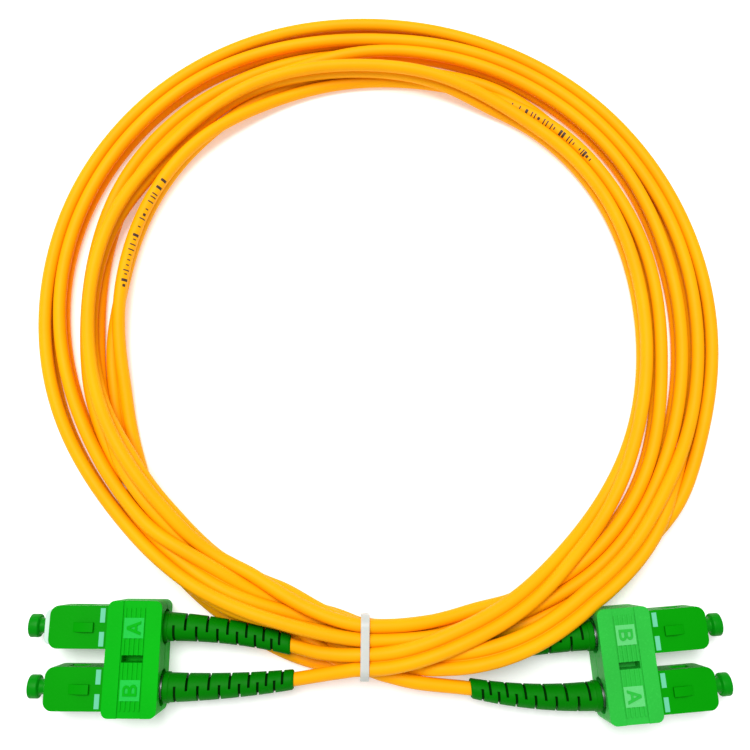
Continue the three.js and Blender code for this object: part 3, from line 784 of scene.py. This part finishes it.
# ---- Connector pieces ----
def lathe(name, profile, sides=48):
    """A round solid about the plug's own line, from (along, radius) points that start and end near it."""
    vertices = []
    for along, radius in profile:
        for k in range(sides):
            angle = 2 * math.pi * k / sides
            across = radius * math.cos(angle)
            vertices.append(plug_point(name, along, across, AXIS_HEIGHT + radius * math.sin(angle)))
    return mesh_from(vertices, tube_faces(len(profile), sides))


def rounded(profile, corner, steps=4):
    """The profile with its inner corners turned into small arcs."""
    points = [np.array(p, float) for p in profile]
    made = [points[0]]
    for before, here, after in zip(points, points[1:], points[2:]):
        to_before, to_after = before - here, after - here
        reach = min(corner, np.linalg.norm(to_before) / 2, np.linalg.norm(to_after) / 2)
        start = here + to_before / np.linalg.norm(to_before) * reach
        end = here + to_after / np.linalg.norm(to_after) * reach
        for step in range(steps + 1):
            t = step / steps
            made.append((1 - t) ** 2 * start + 2 * t * (1 - t) * here + t**2 * end)
    made.append(points[-1])
    return [tuple(p) for p in made]


def build_cap(name):
    """The dust cap: a sleeve that goes over the ferrule, a neck, and a round knob with a dished end."""
    c = CAP
    dish = c["end"] - c["dish"]
    profile = rounded([
        (c["floor"], c["on_axis"]), (c["floor"], c["bore"]), (c["from"], c["bore"]), (c["from"], c["sleeve"]),
        (c["shoulder"], c["sleeve"]), (c["shoulder"], c["neck"]), (c["knob_from"], c["neck"]),
        (c["knob_from"], c["knob"]), (c["end"], c["knob"]), (c["end"], c["dish_rim"]),
        (dish, c["dish_floor"]), (dish, c["on_axis"]),
    ], c["rounding"])
    data = lathe(name, profile)
    add_piece(f"cap_{name}_look", data, "cap", f"cap_{name}", [f"dust_cap_{name}"])


def build_spring(name):
    """The spring round the plug's rear body."""
    s = SPRING
    rings = s["turns"] * s["steps"]
    length = s["to"] - s["from"]
    vertices = []
    for ring in range(rings + 1):
        turn = 2 * math.pi * ring / s["steps"]
        middle = s["from"] + s["wire"] + (length - 2 * s["wire"]) * ring / rings
        for side in range(s["sides"]):
            angle = 2 * math.pi * side / s["sides"]
            radius = s["radius"] + s["wire"] * math.cos(angle)
            along = middle + s["wire"] * math.sin(angle)
            height = AXIS_HEIGHT + radius * math.sin(turn)
            vertices.append(plug_point(name, along, radius * math.cos(turn), height))
    data = mesh_from(vertices, tube_faces(rings + 1, s["sides"]))
    piece = add_piece(f"spring_{name}_look", data, "steel", "cord_set", replaces=[f"ferrule_spring_{name}"])
    fixed_end = plug_point(name, s["from"])
    forward = plug_point(name, s["to"]) - fixed_end
    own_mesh(piece)


def boot_slot_places():
    """Each slot's place along the boot, and the side that it is cut from."""
    place = BOOT["from"] - BOOT_SLOTS["first"]
    for i in range(BOOT_SLOTS["count"]):
        yield place, (1 if i % 2 == 0 else -1)
        share = i / BOOT_SLOTS["count"]
        place -= BOOT_SLOTS["first_pitch"] * (1 - share) + BOOT_SLOTS["last_pitch"] * share


def box_mesh(low, high):
    """The points and faces of a box between two corners."""
    (x0, y0, z0), (x1, y1, z1) = low, high
    vertices = [(x, y, z) for x in (x0, x1) for y in (y0, y1) for z in (z0, z1)]
    faces = [(0, 1, 3, 2), (4, 6, 7, 5), (0, 4, 5, 1), (2, 3, 7, 6), (0, 2, 6, 4), (1, 5, 7, 3)]
    return vertices, faces


def joined_boxes(boxes):
    """The points and faces of several boxes together."""
    vertices, faces = [], []
    for low, high in boxes:
        box_vertices, box_faces = box_mesh(low, high)
        base = len(vertices)
        vertices += box_vertices
        faces += [tuple(base + k for k in face) for face in box_faces]
    return vertices, faces


def ring_solid(profile, sides):
    """A hollow round solid about the X axis, from a closed (along, radius) profile."""
    vertices, faces = [], []
    for along, radius in profile:
        for k in range(sides):
            angle = 2 * math.pi * (k + 0.5) / sides
            vertices.append((along, radius * math.cos(angle), radius * math.sin(angle)))
    count = len(profile)
    for i in range(count):
        for k in range(sides):
            a, c = i * sides + k, i * sides + (k + 1) % sides
            ahead = ((i + 1) % count - i) * sides
            faces.append((a, c, c + ahead, a + ahead))
    return vertices, faces


def boot_profile():
    """Half of the boot's section, as (along, radius) points."""
    b, bore, edge = BOOT, BOOT_BORE, BOOT_EDGE
    rings = np.linspace(b["from"] - b["collar_length"], b["to"], BOOT_RINGS)
    taper = b["tip"] - b["base"]
    length = rings[0] - rings[-1]
    outer = [(along, b["base"] + taper * (rings[0] - along) / length) for along in rings[1:-1]]
    return [
        (b["from"], bore["wide"]), (b["from"], b["collar"] - edge), (b["from"] - edge, b["collar"]),
        (rings[0], b["collar"]), (rings[0] - 0.05, b["base"]), *outer,
        (b["to"] + 0.3, b["tip"]), (b["to"], b["tip"] - edge), (b["to"], bore["narrow"]),
        (bore["step"], bore["narrow"]), (bore["step"], bore["wide"]),
    ]


def sleeve_profile():
    """Half of the section of the thin sleeve that closes the boot's slots."""
    b, bore, s = BOOT, BOOT_BORE, SLEEVE
    end = b["to"] + s["overlap"]
    behind = bore["step"] - s["back"]
    front = b["from"] - s["front"]
    seat = bore["step"] + s["seat"]
    wide_outer = bore["wide"] + s["wide_wall"]
    wide_inner = bore["wide"] - s["overlap"]
    return [
        (end, s["inner"]), (end, s["outer"]), (behind, s["outer"]), (behind, wide_outer),
        (front, wide_outer), (front, wide_inner), (seat, wide_inner), (seat, s["inner"]),
    ]


def boot_slots():
    """The boxes that cut the boot's slots."""
    boxes = []
    beyond = 3 * BOOT["collar"]
    for place, side in boot_slot_places():
        ends = (beyond * side, BOOT_SLOTS["reach"] * side)
        boxes.append(((place - BOOT_SLOTS["width"], min(ends), -beyond), (place, max(ends), beyond)))
    return joined_boxes(boxes)


def combine(piece, operation, data):
    """Cuts a mesh out of a piece, or joins it on with its own material."""
    other = bpy.data.objects.new("other", data)
    bpy.context.scene.collection.objects.link(other)
    change = piece.modifiers.new("change", "BOOLEAN")
    change.operation = operation
    change.solver = "EXACT"
    change.object = other
    if operation == "UNION":
        change.material_mode = "TRANSFER"
    applied(piece)
    bpy.data.objects.remove(other)


def build_boot(name):
    """The strain relief: a tapered tube with slots from both sides in turn, bent like the cord in it."""
    body = bpy.data.objects.new("boot_body", mesh_from(*ring_solid(boot_profile(), BOOT_SIDES)))
    bpy.context.scene.collection.objects.link(body)
    combine(body, "DIFFERENCE", mesh_from(*boot_slots(), smooth=False))
    sleeve = mesh_from(*ring_solid(sleeve_profile(), BOOT_SIDES))
    body.data.materials.append(MATERIALS["boot"])
    # the sleeve gets the near-black painted shade, so the slots look dark
    sleeve.materials.append(MATERIALS["slot_painted_shade"])
    combine(body, "UNION", sleeve)
    data = body.data
    for vertex in data.vertices:
        x, y, z = (c / MM for c in vertex.co)
        vertex.co = Vector(plug_point(name, x, y, AXIS_HEIGHT + z)) * MM
    bpy.data.objects.remove(body)
    piece = add_piece(f"boot_{name}_look", data, "boot", "cord_set", [f"boot_{name}"])
    bevel = piece.modifiers.new("bevel", "BEVEL")
    bevel.width = 0.08 * MM
    bevel.segments = 1
    bevel.limit_method = "ANGLE"
    bevel.angle_limit = math.radians(40)
    normals = piece.modifiers.new("normals", "WEIGHTED_NORMAL")
    normals.keep_sharp = True


def applied(piece):
    """Turns a piece's modifiers into its mesh."""
    graph = bpy.context.evaluated_depsgraph_get()
    made = bpy.data.meshes.new_from_object(piece.evaluated_get(graph))
    old = piece.data
    piece.modifiers.clear()
    piece.data = made
    bpy.data.meshes.remove(old)


def plate(connector, corners, bottom, top, finish, name, body, holes=()):
    """A flat raised piece on a connector, from its outline in plan and the holes in it."""
    shape = bmesh.new()
    rings = []
    for ring in (corners, *holes):
        points = [shape.verts.new(tuple(world(connector, x, y, top) * MM)) for x, y in ring]
        rings.append([shape.edges.new((a, b)) for a, b in zip(points, points[1:] + points[:1])])
    edges = [edge for ring in rings for edge in ring]
    bmesh.ops.triangle_fill(shape, use_beauty=True, use_dissolve=True, edges=edges)
    grown = bmesh.ops.extrude_face_region(shape, geom=list(shape.faces))
    moved = [item for item in grown["geom"] if isinstance(item, bmesh.types.BMVert)]
    bmesh.ops.translate(shape, verts=moved, vec=(0, 0, (bottom - top) * MM))
    bmesh.ops.recalc_face_normals(shape, faces=list(shape.faces))
    data = bpy.data.meshes.new(name)
    shape.to_mesh(data)
    shape.free()
    return add_piece(name, data, finish, body)


def arc(cx, cy, radius_x, radius_y, start, end, steps=8):
    """Points along part of an ellipse, from one angle to another in degrees."""
    angles = [math.radians(start + (end - start) * i / steps) for i in range(steps + 1)]
    return [(cx + radius_x * math.cos(a), cy + radius_y * math.sin(a)) for a in angles]


def letter_outline(letter):
    """The outline and holes of a plain block letter, upright and about its middle, in millimetres."""
    if letter == "a":
        outline = [(-1.45, -1.5), (-0.85, -1.5), (-0.55, -0.75), (0.55, -0.75), (0.85, -1.5), (1.45, -1.5),
                   (0.3, 1.5), (-0.3, 1.5)]
        return outline, [[(-0.33, -0.22), (0.33, -0.22), (0.0, 0.75)]]
    lower = arc(0.35, -0.72, 0.85, 0.78, -90, 75)
    upper = arc(0.3, 0.76, 0.75, 0.74, -75, 90)
    outline = [(-1.15, -1.5), *lower, *upper, (-1.15, 1.5)]
    low_hole = [(-0.6, -1.05), *arc(0.2, -0.7, 0.42, 0.35, -90, 90, 6), (-0.6, -0.35)]
    high_hole = [(-0.6, 0.38), *arc(0.15, 0.72, 0.36, 0.34, -90, 90, 6), (-0.6, 1.06)]
    return outline, [low_hole, high_hole]


def build_letter(side, letter):
    """A light pad in the clip's window, with the channel's letter raised on it."""
    middle_y = (-1 if letter == "a" else 1) * CHANNEL_PITCH / 2
    half = PAD["side"] / 2 - PAD["gap"]
    x = PAD["along"]
    top = PAD["top"]
    square = [(x + u * half, middle_y + v * half) for u, v in ((-1, -1), (1, -1), (1, 1), (-1, 1))]
    body = f"grips_{side}"
    plate(side, square, top - PAD["depth"], top + PAD["lift"], f"pad_{side}", f"letter_pad_{side}_{letter}",
          body)
    outline, holes = letter_outline(letter)

    def turned(points):
        return [(x + v, middle_y - u) for u, v in points]

    plate(side, turned(outline), top, top + LETTER_LIFT, f"clip_{side}", f"letter_{side}_{letter}",
          body, [turned(hole) for hole in holes])


def build_marks(name):
    """Two pale bars across the grip, beside the clip."""
    bars = GRIP_BARS
    connector = name.split("_")[0]
    middle_y = PLUGS[name][0] * CHANNEL_PITCH / 2
    for number, side in enumerate((-1, 1)):
        y0, y1 = sorted((middle_y + side * bars["inner"], middle_y + side * bars["outer"]))
        corners = [(bars["from"], y0), (bars["to"], y0), (bars["to"], y1), (bars["from"], y1)]
        plate(connector, corners, GRIP_TOP - bars["depth"], GRIP_TOP + bars["lift"], "mark",
              f"grip_mark_{name}_{number + 1}", f"grips_{connector}")


# CAD nodes of each plug that stay: what they are made of, and how wide their edges are rounded
PLUG_NODES = [
    ("grip", "grip", 0.22), ("plug_frame", "frame", 0.2), ("ferrule", "ceramic", 0.05),
    ("ferrule_flange", "steel", 0.08), ("stop_ring", "brass", 0.1), ("crimp_sleeve", "steel", 0.05),
    ("fibre_buffer", "buffer", 0.0),
]


def build_connectors():
    for side in CONNECTORS:
        finish_cad(f"clip_upper_{side}", f"clip_{side}", 0.14)
        finish_cad(f"clip_lower_{side}", f"clip_{side}", 0.3)
        for letter in ("a", "b"):
            build_letter(side, letter)
    for name in PLUGS:
        for node, finish, width in PLUG_NODES:
            finish_cad(f"{node}_{name}", finish, width)
        build_marks(name)
        build_cap(name)
        build_spring(name)
        build_boot(name)


build_camera()
build_world()
build_key_light()
build_floor()
build_cords()
build_connectors()
finish_cad("cable_tie", "tie", 0.15)
